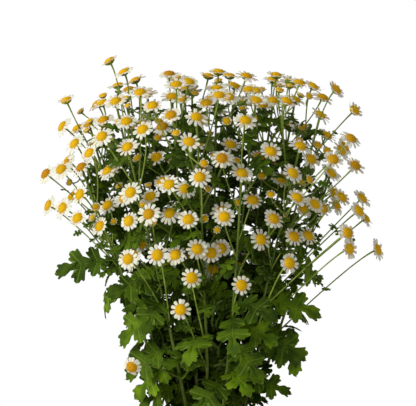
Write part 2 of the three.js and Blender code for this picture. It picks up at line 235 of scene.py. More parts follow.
def beads_on(path):
    """Points on a path, about a bead step apart."""
    fine = curve_at(path, np.linspace(0, 1, path_samples))
    length = np.linalg.norm(np.diff(fine, axis=0), axis=1).sum()
    return curve_at(path, np.linspace(0, 1, math.ceil(length / bead_step) + 1))


def add_beads(points, stem, main, free):
    """Keeps points of a limb, against which later pieces are tested."""
    count = len(points)
    new = {"p": points, "stem": np.full(count, stem), "main": np.full(count, main), "free": free}
    for key, values in new.items():
        beads[key] = np.concatenate([beads[key], values])

# %% [markdown]
# ## Keeping things apart
# Two limbs of a plant don't grow through each other, so each new piece is tested before it is kept. A daisy
# fills a flat disc of space, and no bead may lie in it. Two daisies lie side by side, or one in front of
# the other with a gap that grows with the tilt between them. The beads of two stems keep a gap, while
# stalks of one stem may share a foot.

# %% Tests
head_margin, head_half_depth, layer_gap = 1.2, 4, 5.5
stem_gap, stalk_gap, shared_foot = 3.6, 3, 0.35


def in_heads(points, some):
    """True where a point comes within the flat disc of space of one of some daisies."""
    if not some:
        return False
    reach = of_all(some, "radius") + head_margin
    offset = points[:, None] - of_all(some, "centre")
    rise = (offset * of_all(some, "facing")).sum(-1)
    within = (offset ** 2).sum(-1) - rise ** 2 < reach ** 2
    return bool((within & (np.abs(rise) < head_half_depth)).any())


def near(points, others, gap):
    """True where a point comes within a gap of one of the others."""
    close = others[((others > points.min(0) - gap) & (others < points.max(0) + gap)).all(1)]
    return len(close) > 0 and bool((((points[:, None] - close) ** 2).sum(-1) < gap ** 2).any())


def apart(head):
    """True where a daisy lies beside each other one, or in front of it or behind it."""
    facings = of_all(heads, "facing")
    offset = head["centre"] - of_all(heads, "centre")
    tilt = np.sqrt(np.maximum(0, 1 - (facings @ head["facing"]) ** 2))
    layers = np.minimum(np.abs(offset @ head["facing"]), np.abs((offset * facings).sum(1)))
    beside = np.linalg.norm(offset, axis=1) > head["radius"] + of_all(heads, "radius")
    return bool((beside | (layers > layer_gap + head_radius * tilt)).all())

# %% Daisies on their stalks
def try_head(centre, facing, radius):
    """Adds a daisy to the nearest stem, unless it or its stalk would touch what is there."""
    stem = nearest_stem(unit(centre - fan_apex))
    number = stem["number"]
    head = {"centre": centre, "facing": facing, "radius": radius, "stem": number}
    if not apart(head):
        return
    head["path"] = stalk_to(stem, centre, facing)
    points = beads_on(head["path"])
    free = np.arange(len(points)) > shared_foot * len(points)
    own = beads["stem"] == number
    if in_heads(beads["p"], [head]) or in_heads(points, heads):
        return
    if near(points, beads["p"][~own], stem_gap):
        return
    if near(points[free], beads["p"][own & beads["free"]], stalk_gap):
        return
    heads.append(head)
    add_beads(points, number, False, free)


def any_radius():
    """The radius of a daisy, which may be up to a fifth less than the largest."""
    return head_radius * (0.8 + 0.2 * next(place_draw))


for stem in stems:
    tip = stem["path"][2]
    facing = facing_at(tip, next(place_draw), next(place_draw))
    heads.append({"centre": tip, "facing": facing, "radius": head_radius, "stem": stem["number"],
                  "path": None})
    points = beads_on(stem["path"])[:-tip_beads]
    add_beads(points, stem["number"], True, np.ones(len(points), bool))
for place in stray_heads:
    place = np.array(place, float)
    try_head(place, facing_at(place, next(place_draw), next(place_draw)), any_radius())
while len(heads) < head_count:
    across = 2 * next(place_draw) - 1
    up = mix(-dome_drop, dome_rise, next(place_draw) ** heads_up)
    side = -1 if next(place_draw) < front_share else 1
    depth = mix(head_layer, dome_half_depth, max(0, up / dome_rise)) * next(place_draw)
    sway = next(place_draw), next(place_draw)
    radius = any_radius()
    chord = dome_reach(up) ** 2 - across ** 2
    if chord < 0:
        continue
    out = side * (dome_half_depth * math.sqrt(chord) - depth)
    centre = dome_centre + np.array([dome_half_width * across, out, up])
    try_head(centre, facing_at(centre, *sway), radius)
print("daisies:", len(heads), "of which at the front:", sum(head["centre"][1] < 0 for head in heads))

# %% [markdown]
# ## Where the large leaves stand
# A feverfew leaf is cut into lobes along a rib. The leaves arch down along the rib and fold up a little on
# both sides of it. Those that shape the plant below the dome are listed and shifted until they are
# clear of the rest. The others are turned at random until they are.

# %% Sizes and chosen places of the large leaves
leaf_count, leaf_fold, leaf_long, leaf_short = 34, 0.2, 60, 38
leaf_low, leaf_high, leaf_cone_foot, leaf_slope, edge_slope = 152, 316, 74, 0.38, 0.6
leaf_rounds, leaf_tries, inner_stems, leaf_stalk_gap, leaf_gap = 4, 160, 9, 4.8, 5.4
edge_tries, edge_shift, edge_turn = 120, 36, 1.6
over_soil, over_rim, round_rim = 8, 5, 4
pot_rim, pot_height = (value / millimetre for value in (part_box("pot")[1].x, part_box("pot")[1].z))
edge_leaves = [
    [-74, -24, 290, 3.3, -0.05, 0.6, -0.9, 60], [-62, -30, 248, 3.5, -0.5, 0.7, -0.8, 58],
    [-46, -34, 212, 3.4, -0.4, 0.8, -0.9, 56], [-36, -26, 176, 3.4, -0.3, 0.7, -0.8, 46],
    [84, -14, 284, -0.2, 0.1, 1.8, 0.9, 50], [58, -30, 252, -0.4, 0.1, 0.9, 0.7, 58],
    [46, -28, 222, -0.5, -0.2, 0.8, 0.8, 54], [36, -24, 178, -0.4, 0, 0.7, 0.7, 46],
    [-30, -50, 270, -2.7, 0.35, 0.9, -0.7, 54], [18, -50, 258, -0.6, 0.3, 1, 0.7, 52],
    [-8, -44, 232, -2, 0.5, 1.4, 0.1, 56], [26, -40, 216, -0.9, -0.3, 0.9, 0.5, 54],
    [-26, -58, 200, -2.7, -0.1, 0.8, -0.5, 52], [8, -60, 190, -1.2, 0.2, 1.2, 0.3, 48],
    [0, -66, 246, -1.7, -0.5, 0.9, 0.2, 50],
]
leaves, leaf_tests = [], []
print("pot rim:", round(pot_rim, 1), "mm, leaves with a chosen place:", len(edge_leaves))

# %% Pose and blade of a leaf
def leaf_from(root, stem_number, turn, pitch, bend, roll, length):
    """A leaf from its root: turned round the vertical, pitched up, bent down and rolled about its rib."""
    forward = np.array([math.cos(turn) * math.cos(pitch), math.sin(turn) * math.cos(pitch), math.sin(pitch)])
    level = np.array([-math.sin(turn), math.cos(turn), 0])
    side = level * math.cos(roll) + np.cross(forward, level) * math.sin(roll)
    return {"stem": stem_number, "root": root, "length": length, "bend": bend,
            "forward": forward, "side": side, "up": np.cross(forward, side)}


def leaf_on(stem, height, *pose):
    """A leaf that leaves a stem at a height."""
    foot, _, tip = stem["path"]
    return leaf_from(curve_at(stem["path"], (height - foot[2]) / (tip[2] - foot[2])), stem["number"], *pose)


def leaf_place(leaf, u, v, lift=0.0):
    """Points of a leaf from flat places u along and v across it, in shares of its length, and a lift off
    its blade: the rib is an arc of the leaf's bend, and both halves fold up from it."""
    bent = leaf["bend"] * u
    arc = leaf["length"] / leaf["bend"]
    x = (arc + lift) * np.sin(bent)
    z = lift * np.cos(bent) - arc * (1 - np.cos(bent)) + leaf["length"] * leaf_fold * np.abs(v)
    spread = [(x, "forward"), (leaf["length"] * v, "side"), (z, "up")]
    return leaf["root"] + sum(amount[..., None] * leaf[axis] for amount, axis in spread)


def leaf_points(leaf):
    """Test points spread over a leaf's blade."""
    u = np.arange(0.04, 1.01, 0.08)
    half = np.where((u < 0.22) | (u > 0.98), 0, 0.31 - 0.4 * np.maximum(0, u - 0.65))
    return leaf_place(leaf, u[:, None] + np.zeros(9), half[:, None] * np.linspace(-1, 1, 9)).reshape(-1, 3)

# %% Large leaves on their stems
def leaf_fits(leaf, points, slope):
    """True where a large leaf stays in a cone over the pot that widens by a slope, above the rim and the
    soil, and clear of all there is."""
    out, height = np.hypot(points[:, 0], points[:, 1]), points[:, 2]
    if (out > leaf_cone_foot + slope * (height - leaf_low)).any():
        return False
    at_rim = (height < pot_height + over_rim) & (out < pot_rim + round_rim)
    if (height < soil_level + over_soil).any() or at_rim.any():
        return False
    others = (beads["free"] & ~beads["main"]) | (beads["stem"] != leaf["stem"])
    if near(points, beads["p"][others], leaf_stalk_gap) or in_heads(points, heads):
        return False
    return not (leaf_tests and near(points, np.concatenate(leaf_tests), leaf_gap))


def try_leaf(leaf, slope):
    """Keeps a leaf if it fits."""
    points = leaf_points(leaf)
    if not leaf_fits(leaf, points, slope):
        return False
    leaves.append(leaf)
    leaf_tests.append(points)
    return True


leaf_draw = seeded(977)
for x, y, z, turn, pitch, *pose in edge_leaves:
    for attempt in range(edge_tries):
        off = [attempt / edge_tries * (next(leaf_draw) - 0.5) for _ in range(5)]
        place = np.array([x + edge_shift * off[0], y + edge_shift * off[1], z])
        stem = nearest_stem(unit(place - fan_apex))
        turned_to = turn + edge_turn * off[3], pitch + edge_turn * off[4]
        if try_leaf(leaf_on(stem, z + edge_shift * off[2], *turned_to, *pose), edge_slope):
            break
for leaf_round in range(leaf_rounds):
    for stem in stems[inner_stems if leaf_round else 0:][::-1]:
        for attempt in range(leaf_tries if len(leaves) < leaf_count else 0):
            share = ((leaf_round + next(leaf_draw)) / leaf_rounds) ** 1.2
            turn = math.atan2(stem["direction"][1], stem["direction"][0]) + 3 * (next(leaf_draw) - 0.5)
            pitch = 1.1 * next(leaf_draw) - 0.5
            bend = 0.7 + next(leaf_draw)
            roll = 0.6 * math.cos(turn) + 0.8 * (next(leaf_draw) - 0.5)
            size = mix(leaf_long, leaf_short, share)
            height = mix(leaf_low, leaf_high, share)
            if try_leaf(leaf_on(stem, height, turn, pitch, bend, roll, size), leaf_slope):
                break
print("large leaves:", len(leaves), "the lowest at", round(min(leaf["root"][2] for leaf in leaves)), "mm")

# %% [markdown]
# ## Small leaves
# The solids carry only the large leaves. The real plant is bushy: each stem has a leaf at every node, a
# golden angle round from the last, and they shrink towards the daisies. Each stalk has one more where it
# leaves its stem, and a tiny one half-way up if it is long. They stay inside the outline that the large
# leaves and daisies make.

# %% Small leaves
node_step, node_low, node_tries, below_tip = 7.2, 147, 9, 12
small_gap, small_over_soil, long_stalk = 2.5, 5, 45
small_lengths = ([150, 250, 380, 410, 450], [38, 37, 36, 30, 20])
small_reach = ([124, 140, 152, 250, 300, 480], [40, 52, 62, 98, 112, 132])
small_leaves = []


def small_fits(points):
    """True where a small leaf stays in the outline, above the soil, and clear of daisies and large leaves."""
    out = np.hypot(points[:, 0] - dome_centre[0], points[:, 1] * dome_half_width / dome_half_depth)
    outside = out > np.interp(points[:, 2], *small_reach)
    if outside.any() or (points[:, 2] < soil_level + small_over_soil).any():
        return False
    return not (in_heads(points, heads) or near(points, np.concatenate(leaf_tests), small_gap))


def leaf_pose(turn, back):
    """Pitch, bend and roll of a small leaf, which turns its face a little to the front, or to the back."""
    roll = 0.7 * math.cos(turn) * (-1 if back else 1)
    return looks.uniform(-0.5, 0.75), looks.uniform(0.5, 1.5), roll + looks.normal(0, 0.35)


for stem in stems:
    nodes_up = np.arange(node_low + node_step * looks.random(), stem["path"][2, 2] - below_tip, node_step)
    for number, height in enumerate(nodes_up):
        size = np.interp(height, *small_lengths) * looks.uniform(0.7, 1.08)
        for attempt in range(node_tries):
            turn = golden_angle * (number + attempt) + stem["number"] + looks.normal(0, 0.3)
            leaf = leaf_on(stem, height, turn, *leaf_pose(turn, stem["direction"][1] > 0), size)
            if small_fits(leaf_points(leaf)):
                small_leaves.append(leaf)
                break
for head in heads[len(stems):]:
    out = head["path"][1] - head["path"][0]
    at_foot = 0.03, looks.uniform(14, 25)
    half_way = looks.uniform(0.3, 0.6), looks.uniform(9, 17)
    for share, length in (at_foot, half_way):
        turn = math.atan2(out[1], out[0]) + looks.normal(0, 0.7)
        pose = leaf_pose(turn, head["centre"][1] > 0)
        leaf = leaf_from(curve_at(head["path"], share), head["stem"], turn, *pose, length)
        room = share < 0.1 or np.linalg.norm(out) > long_stalk
        if room and not in_heads(leaf_points(leaf), heads):
            small_leaves.append(leaf)
print("small leaves:", len(small_leaves))

# %% [markdown]
# ## Buds
# A feverfew in flower also carries heads that are only just opening. Each stands beside an open daisy, on a
# branch of its stalk. It is about half as wide, with short petals round a disc that already shows its
# yellow.

# %% Buds
bud_count, bud_reach, bud_neck, bud_gap, bud_dome = 80, 7.6, 8, 2.5, 0.98
buds = []
while len(buds) < bud_count:
    head = heads[looks.integers(len(stems), len(heads))]
    root = curve_at(head["path"], looks.uniform(0.35, 0.65))
    aside = unit(np.cross(head["facing"], looks.normal(size=3)))
    centre = head["centre"] + aside * looks.uniform(15, 26) - head["facing"] * looks.uniform(0, 12)
    facing = unit(head["facing"] + 0.3 * aside)
    bud = {"centre": centre, "facing": facing, "radius": bud_reach, "stem": head["stem"],
           "path": np.array([root, centre - facing * bud_neck, centre])}
    points = beads_on(bud["path"])
    own = beads["stem"] == head["stem"]
    if not in_dome(centre, bud_dome) or in_heads(points, heads + buds) or in_heads(beads["p"][~own], [bud]):
        continue
    if not near(points[len(points) // 2:], beads["p"], bud_gap):
        buds.append(bud)
print("buds:", len(buds))

# %% [markdown]
# ## Two kinds of surface
# All that grows here is either a thin blade, such as a leaf or a petal, or a round body, such as a stalk or
# a bud. Each kind has one function that takes a whole array of them at once, so a thousand petals cost no
# more code than one. Both give closed skins with their faces pointing out.

# %% Blades
def blade_faces(rows, columns):
    """Corner numbers of one closed blade: its upper grid, its lower grid turned over, and the rim between
    them."""
    upper, lower = np.arange(2 * rows * columns).reshape(2, rows, columns)
    cells = [np.stack([g[:-1, :-1], g[1:, :-1], g[1:, 1:], g[:-1, 1:]], -1).reshape(-1, 4)
             for g in (upper, lower)]
    edge, under = (np.concatenate([g[:-1, 0], g[-1, :-1], g[:0:-1, -1], g[0, :0:-1]]) for g in (upper, lower))
    rim = np.stack([under, np.roll(under, -1), np.roll(edge, -1), edge], -1)
    return np.concatenate([cells[0], cells[1][:, ::-1], rim])


def blades(middle, thickness, places, **marks):
    """Closed thin blades over mid-surfaces of the shape (blades, rows, columns, 3), each pushed half the
    thickness to both sides along its normal. places are the flat places that a pattern follows, and marks
    are one number a blade."""
    count, rows, columns, _ = middle.shape
    lift = unit(np.cross(np.gradient(middle, axis=1), np.gradient(middle, axis=2))) * thickness / 2
    points = np.stack([middle + lift, middle - lift], 1)
    size = 2 * rows * columns
    faces = blade_faces(rows, columns) + size * np.arange(count)[:, None, None]
    under = np.broadcast_to(np.array([0.0, 1.0])[:, None], (count, 2, rows * columns))
    spread = {name: np.repeat(np.broadcast_to(mark, count), size) for name, mark in marks.items()}
    flat = np.repeat(np.broadcast_to(places, (count, 1, rows, columns, 2)), 2, 1)
    return {"points": points.reshape(-1, 3), "quads": faces.reshape(-1, 4),
            "triangles": np.empty((0, 3), int), "places": flat.reshape(-1, 2),
            "underside": under.ravel(), **spread}

# %% Round bodies
def rounds(rings, poles, **marks):
    """Closed round bodies from rings of the shape (bodies, rows, sides, 3), which turn anticlockwise as
    seen from the last row, and from the two poles that close each body."""
    count, rows, sides, _ = rings.shape
    size = rows * sides + 2
    a = np.arange(rows * sides).reshape(rows, sides)
    b = np.roll(a, -1, 1)
    quads = np.stack([a[:-1], b[:-1], b[1:], a[1:]], -1).reshape(-1, 4)
    first, last = np.full(sides, size - 2), np.full(sides, size - 1)
    caps = np.concatenate([np.stack([first, b[0], a[0]], -1), np.stack([last, a[-1], b[-1]], -1)])
    along = np.concatenate([np.repeat(np.linspace(0, 1, rows), sides), [0, 1]])
    step = size * np.arange(count)[:, None, None]
    spread = {name: np.repeat(np.broadcast_to(mark, count), size) for name, mark in marks.items()}
    return {"points": np.concatenate([rings.reshape(count, -1, 3), poles], 1).reshape(-1, 3),
            "quads": (quads + step).reshape(-1, 4), "triangles": (caps + step).reshape(-1, 3),
            "places": np.tile(np.stack([np.zeros(size), along], -1), (count, 1)),
            "underside": np.zeros(count * size), **spread}


def turned_rings(outline, sides):
    """Rings about the third axis through an outline of radii and heights."""
    turn = full_turn(sides)
    out, up = np.asarray(outline, float).T[..., None]
    return side_by_side(out * np.cos(turn), out * np.sin(turn), up)

# %% Limbs
def limbs(line, across, radius, sides, **marks):
    """Closed tubes along many lines of the shape (limbs, rows, 3). across is a direction square to each
    whole line, and the radius has a number for each row."""
    tangent = unit(np.gradient(line, axis=1))
    across = np.broadcast_to(across[:, None], tangent.shape)
    other = np.cross(tangent, across)
    turn = full_turn(sides)[:, None]
    rings = across[:, :, None] * np.cos(turn) + other[:, :, None] * np.sin(turn)
    rings = line[:, :, None] + rings * np.broadcast_to(radius, line.shape[:2])[:, :, None, None]
    return rounds(rings, line[:, [0, -1]], **marks)


def square_to(path):
    """A direction square to all of each curved path: the normal of the plane through its three points, or
    for a path that is nearly straight, a direction square to that and to an arbitrary line."""
    a, b, c = (path[:, k] for k in range(3))
    normal = np.cross(b - a, c - b)
    spare = np.cross(c - a, [0.31, 0.95, 0.02])
    least = 0.02 * np.linalg.norm(c - a, axis=1, keepdims=True) ** 2
    straight = np.linalg.norm(normal, axis=1, keepdims=True) < least
    return unit(np.where(straight, unit(spare), unit(normal)))

# %% [markdown]
# ## From arrays to pieces
# Blender takes a whole mesh at once from flat arrays of points, corners and face starts, which is far
# quicker than face by face. The flat places become a UV map, and the marks become attributes that a finish
# can read. A piece then gets smooth shading, with a crease where faces meet at a sharp angle, and takes the
# place of its plain solid.

# %% Meshes and pieces
crease_angle = math.radians(50)


def placed(name, data):
    """A new object in the scene."""
    made = bpy.data.objects.new(name, data)
    bpy.context.scene.collection.objects.link(made)
    return made


def new_object(name, parts):
    """Joins parts into one mesh in metres, with flat places as a UV map and marks as attributes."""
    counts = np.cumsum([0] + [len(part["points"]) for part in parts])
    points = np.concatenate([part["points"] for part in parts]) * millimetre
    quads, triangles = (np.concatenate([part[kind] + start for part, start in zip(parts, counts)])
                        for kind in ("quads", "triangles"))
    corners = np.concatenate([quads.ravel(), triangles.ravel()])
    starts = np.concatenate([4 * np.arange(len(quads)), 4 * len(quads) + 3 * np.arange(len(triangles))])
    mesh = bpy.data.meshes.new(name)
    mesh.vertices.add(len(points))
    mesh.vertices.foreach_set("co", points.astype(np.float32).ravel())
    mesh.loops.add(len(corners))
    mesh.loops.foreach_set("vertex_index", corners.astype(np.int32))
    mesh.polygons.add(len(starts))
    mesh.polygons.foreach_set("loop_start", starts.astype(np.int32))
    mesh.update(calc_edges=True)
    places = np.concatenate([part["places"] for part in parts])
    mesh.uv_layers.new(name="places").data.foreach_set("uv", places[corners].astype(np.float32).ravel())
    for mark in sorted(set(parts[0]) - {"points", "quads", "triangles", "places"}):
        values = np.concatenate([part[mark] for part in parts]).astype(np.float32)
        mesh.attributes.new(mark, "FLOAT", "POINT").data.foreach_set("value", values)
    return placed(name, mesh)


def add_piece(name, parts, finish, stands_for, holes=()):
    """Makes a piece of the object, with its finish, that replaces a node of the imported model. holes are
    parts that are cut out of it."""
    piece = new_object(name, parts)
    tools = [new_object("hole", [hole]) for hole in holes]
    for tool in tools:
        piece.modifiers.new("hole", "BOOLEAN").object = tool
    if tools:
        graph = bpy.context.evaluated_depsgraph_get()
        piece.data = bpy.data.meshes.new_from_object(piece.evaluated_get(graph))
        piece.modifiers.clear()
    for tool in tools:
        bpy.data.objects.remove(tool)
    piece.data.shade_smooth()
    piece.data.set_sharp_from_angle(angle=crease_angle)
    piece.data.materials.clear()
    piece.data.materials.append(finish)
    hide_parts(stands_for)
    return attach(piece, "root")

# %% [markdown]
# ## Finishes
# Every finish is worked out from noise, from the piece's own flat places or from its marks, so it needs no
# picture. One function adds a node with its settings and links, and another turns the sRGB colours of a
# paint chart into the linear ones that light needs.

# %% Helpers for finishes
def linear(code):
    """An sRGB hex colour as linear RGBA: c / 12.92 near black, else ((c + 0.055) / 1.055) ** 2.4."""
    parts = [int(code[k:k + 2], 16) / 255 for k in (1, 3, 5)]
    return (*(c / 12.92 if c <= 0.04045 else ((c + 0.055) / 1.055) ** 2.4 for c in parts), 1.0)


def node(finish, kind, inputs, **settings):
    """Adds a node to a finish, with settings, and with inputs that are values or outputs of nodes."""
    made = finish.node_tree.nodes.new("ShaderNode" + kind)
    for key, value in settings.items():
        setattr(made, key, value)
    for key, value in inputs.items():
        if isinstance(value, bpy.types.NodeSocket):
            finish.node_tree.links.new(value, made.inputs[key])
        else:
            made.inputs[key].default_value = value
    return made


def new_finish(name):
    """An empty finish and its surface output."""
    finish = bpy.data.materials.new(name)
    finish.use_nodes = True
    finish.node_tree.nodes.clear()
    return finish, node(finish, "OutputMaterial", {})


def surface(finish, output, colour, roughness, height, depth, **more):
    """Ends a finish in a shader with that colour, and with a height pattern as bumps of a depth in
    metres."""
    inputs = {"Base Color": colour, "Roughness": roughness}
    inputs.update({key.replace("_", " "): value for key, value in more.items()})
    inputs["Normal"] = node(finish, "Bump", {"Height": height, "Distance": depth}).outputs[0]
    shader = node(finish, "BsdfPrincipled", inputs)
    finish.node_tree.links.new(shader.outputs[0], output.inputs["Surface"])
    print(finish.name, "has", len(finish.node_tree.nodes), "nodes")
    return finish

# %% Patterns for finishes
def blend(finish, share, a, b):
    """The colour that lies at a share of the way from a to b."""
    return node(finish, "Mix", {0: share, 6: a, 7: b}, data_type="RGBA").outputs[2]


def noise(finish, size, detail=2.0):
    """Soft noise whose blobs are about a size in millimetres, on the object's own coordinates."""
    place = node(finish, "TexCoord", {}).outputs["Object"]
    inputs = {"Vector": place, "Scale": 1 / (size * millimetre), "Detail": detail}
    return node(finish, "TexNoise", inputs).outputs[0]


def band(finish, value, low, high):
    """A smooth step from 0 where a value is below low to 1 where it is above high."""
    return node(finish, "MapRange", {0: value, 1: low, 2: high}, interpolation_type="SMOOTHSTEP").outputs[0]


def mark(finish, name):
    """A piece's own attribute."""
    return node(finish, "Attribute", {}, attribute_name=name).outputs["Fac"]


def maths(finish, operation, *values):
    """One sum on numbers or outputs."""
    return node(finish, "Math", dict(enumerate(values)), operation=operation).outputs[0]


def from_middle(finish, value):
    """How far a value is from a half."""
    return maths(finish, "ABSOLUTE", maths(finish, "SUBTRACT", value, 0.5))


def places_of(finish):
    """A piece's flat places, across and along."""
    spot = node(finish, "UVMap", {}, uv_map="places").outputs[0]
    return node(finish, "SeparateXYZ", {0: spot}).outputs[:2]

# %% [markdown]
# ## Stem green
# Young feverfew stems are a light yellowish green, fleshy and a little downy, so they have a broad soft
# gloss. They are lighter towards the flowers.

# %% Finish of stems and stalks
def stem_green():
    """Green stem skin: mottled along its length, with fine long ribs as bumps."""
    finish, output = new_finish("stem_skin_green")
    mottle = band(finish, noise(finish, 9), 0.35, 0.7)
    young = blend(finish, mottle, linear("#88a032"), linear("#b2c25a"))
    colour = blend(finish, mark(finish, "tone"), linear("#4e6716"), young)
    return surface(finish, output, colour, 0.6, noise(finish, 0.6), 0.0001, Specular_IOR_Level=0.3)


stem_finish = stem_green()

# %% [markdown]
# ## Leaf green
# The blade is soft and thin. Its upper side is a mid green with slightly paler veins that are sunk into it,
# and its underside is paler and greyer. The veins follow the leaf's flat places: one rib, one side vein up
# the middle of each lobe, and fine branches that leave the side veins on a slant, as contour lines of a sum
# of the two distances.

# %% Finish of leaves
def leaf_green():
    """Leaf blade: green by side, with painted shade deep in the plant, veins from the flat places and noise
    patches.
    """
    finish, output = new_finish("leaf_blade_green")
    across, along = places_of(finish)
    from_rib = from_middle(finish, across)
    from_vein = from_middle(finish, maths(finish, "FRACT", along))
    rib = band(finish, from_rib, 0.025, 0.006)
    side_vein = band(finish, from_vein, 0.05, 0.012)
    outward = maths(finish, "MULTIPLY", from_rib, 12)
    branches = maths(finish, "SUBTRACT", outward, maths(finish, "MULTIPLY", from_vein, 4))
    from_branch = from_middle(finish, maths(finish, "FRACT", branches))
    branch = maths(finish, "MULTIPLY", band(finish, from_branch, 0.14, 0.02), 0.4)
    veins = maths(finish, "MAXIMUM", maths(finish, "MAXIMUM", rib, side_vein), branch)
    patches = band(finish, noise(finish, 14), 0.3, 0.75)
    # The tone mark is painted shade with a random share: it runs from near black green deep in the plant to a
    # light green at its edge.
    tone = mark(finish, "tone")
    dark = blend(finish, tone, linear("#1c2e00"), linear("#4a6a00"))
    light = blend(finish, tone, linear("#2e4a00"), linear("#82a40c"))
    upper = blend(finish, patches, dark, light)
    upper = blend(finish, maths(finish, "MULTIPLY", veins, 0.3), upper, linear("#8fae3a"))
    under = blend(finish, veins, linear("#6d8636"), linear("#93a85c"))
    colour = blend(finish, mark(finish, "underside"), upper, under)
    height = maths(finish, "SUBTRACT", noise(finish, 1.6), maths(finish, "MULTIPLY", veins, 1.5))
    return surface(finish, output, colour, 0.7, height, 0.0003, Specular_IOR_Level=0.15)


leaf_finish = leaf_green()

# %% [markdown]
# ## Petal white and floret yellow
# The petals of feverfew are a matt, faintly warm white, with shallow grooves along them. The disc is packed
# with small tubular florets: the outer ones are open and deep yellow, and those in the middle are still
# closed and paler.

# %% Finish of petals and discs
def petal_white():
    """Petal: warm white, a little green at its foot, with three grooves along it."""
    finish, output = new_finish("petal_white")
    across, along = places_of(finish)
    groove = maths(finish, "SINE", maths(finish, "MULTIPLY", across, 6 * math.pi))
    colour = blend(finish, mark(finish, "tone"), linear("#f6ecce"), linear("#fffbe8"))
    colour = blend(finish, band(finish, along, 0.35, 0.05), colour, linear("#d3d0a0"))
    return surface(finish, output, colour, 0.6, groove, 0.0001,
                   Subsurface_Weight=0.15, Subsurface_Scale=0.002)


def floret_yellow():
    """Disc florets: paler in the middle of the disc, deep yellow outside, and browner on an old head."""
    finish, output = new_finish("floret_yellow")
    fresh = blend(finish, mark(finish, "ring"), linear("#f6d600"), linear("#f0b800"))
    colour = blend(finish, mark(finish, "age"), fresh, linear("#c47a0c"))
    return surface(finish, output, colour, 0.7, noise(finish, 0.4), 0.0001, Specular_IOR_Level=0.2)


petal_finish, disc_finish = petal_white(), floret_yellow()

# %% [markdown]
# ## How each daisy differs
# No two daisies are alike: they have 11 to 14 petals, turn at any angle, and open from a shallow cup when
# young to a drooping skirt when old. Those that look up hold their petals higher. These differences are
# drawn once for all, as arrays, and the buds come last in them.

# %% Looks of the daisies
daisies = {key: of_all(heads + buds, key) for key in ("centre", "facing", "radius", "stem")}
whole = len(heads) + len(buds)
closed = np.arange(whole) >= len(heads)
daisies["size"] = np.where(closed, looks.uniform(0.5, 0.78, whole), 1)
daisies["petals"] = np.where(closed, looks.integers(8, 11, whole), looks.integers(11, 15, whole))
daisies["age"] = np.where(closed, 0, 0.7 * looks.random(whole) ** 6)
open_tilt = 0.1 + 0.3 * daisies["facing"][:, 2] - 0.5 * daisies["age"]
daisies["tilt"] = np.where(closed, 0.75, open_tilt) + looks.normal(0, 0.12, whole)
spin = looks.normal(size=(whole, 3))
spin -= (spin * daisies["facing"]).sum(1, keepdims=True) * daisies["facing"]
daisies["axes"] = np.stack([unit(spin), np.cross(daisies["facing"], unit(spin)), daisies["facing"]], 1)
print("daisies and buds:", whole, "mean tilt:", round(float(daisies["tilt"].mean()), 2))

# %% From a daisy's own axes to the plant's
def seated(local, which):
    """Points given in a daisy's own axes, with the third one out of it, at the places and sizes of the
    daisies numbered which."""
    axes, centre = daisies["axes"][which] * daisies["size"][which, None, None], daisies["centre"][which]
    spread = (len(which),) + (1,) * (local.ndim - 2) + (3,)
    return centre.reshape(spread) + np.einsum("n...k,nkx->n...x", local, axes)


def on_each(local, which):
    """One shape, given in a daisy's own axes, on each of the daisies numbered which."""
    return seated(np.broadcast_to(local, (len(which),) + local.shape), which)


def turned(out, aside, rise, angle):
    """Points from their distance out along a direction in the disc's plane, aside from it and up."""
    angle = angle.reshape(angle.shape + (1,) * (out.ndim - 1))
    cos, sin = np.cos(angle), np.sin(angle)
    return side_by_side(out * cos - aside * sin, out * sin + aside * cos, rise)

# %% [markdown]
# ## Petals
# A feverfew petal is short and blunt, with small teeth at its tip, and leaves gaps to its neighbours. It is
# a grid with one parameter along it and one across: the width swells as a sine, the tip is cut back between
# its teeth, and the sides curve down.

# %% Petals of a stem's daisies
petal_rows, petal_columns, petal_half, petal_thickness = 5, 5, 1.45, 0.3
disc_radius, disc_rise = 5.3, 3


def petals_on(which):
    """The petals of the daisies numbered which, as closed blades. t runs along a petal and s across it. The
    width is a sine of t, the notched tip falls back with t to the power 6, and the petal rises by its tilt,
    curls down with the square of its length and hangs at its sides."""
    number = np.repeat(which, daisies["petals"][which])
    turn = np.concatenate([np.arange(count) / count for count in daisies["petals"][which]])
    angle = 2 * math.pi * turn + looks.normal(0, 0.05, len(number))
    reach = daisies["radius"][number] * looks.uniform(0.95, 1.06, len(number))
    half = petal_half * looks.uniform(0.85, 1.12, len(number))
    tilt = daisies["tilt"][number] + looks.normal(0, 0.13, len(number))
    roll = looks.normal(0, 0.2, len(number))
    reach, half, tilt, roll = (value[:, None, None] for value in (reach, half, tilt, roll))
    t = np.linspace(0, 1, petal_rows)[:, None]
    s = np.linspace(-1, 1, petal_columns)
    root = 0.72 * disc_radius
    notch = t ** 6 * (0.06 * np.sin(math.pi * s) ** 2 + 0.1 * s ** 2)
    length = (reach - root) * (t - notch)
    width = half * (0.4 + 0.6 * np.sin(math.pi * 0.72 * t ** 0.8)) * s
    curl = 0.04 * length ** 2 + 0.16 * half * s ** 2 * np.sin(math.pi * t)
    rise = 0.4 + length * np.sin(tilt) - curl + roll * width
    local = turned(root + length * np.cos(tilt), width, rise, angle)
    flat = side_by_side((s + 1) / 2, t)
    return blades(seated(local, number), petal_thickness, flat, tone=looks.random(len(number)))

# %% [markdown]
# ## Discs
# The disc is a low dome packed with florets. Nature sets each new floret a golden angle further round,
# which fills a circle without gaps: floret i lies at a distance that grows with the root of i. Each is a
# tiny blunt cone.

# %% Discs of a stem's daisies
floret_count, floret_sides, floret_lean, dome_sides = 46, 5, 3.2, 12


def dome_height(out):
    """Height of the disc's dome at a distance from its middle."""
    return disc_rise * np.sqrt(np.maximum(0, 1 - (out / (1.02 * disc_radius)) ** 2))


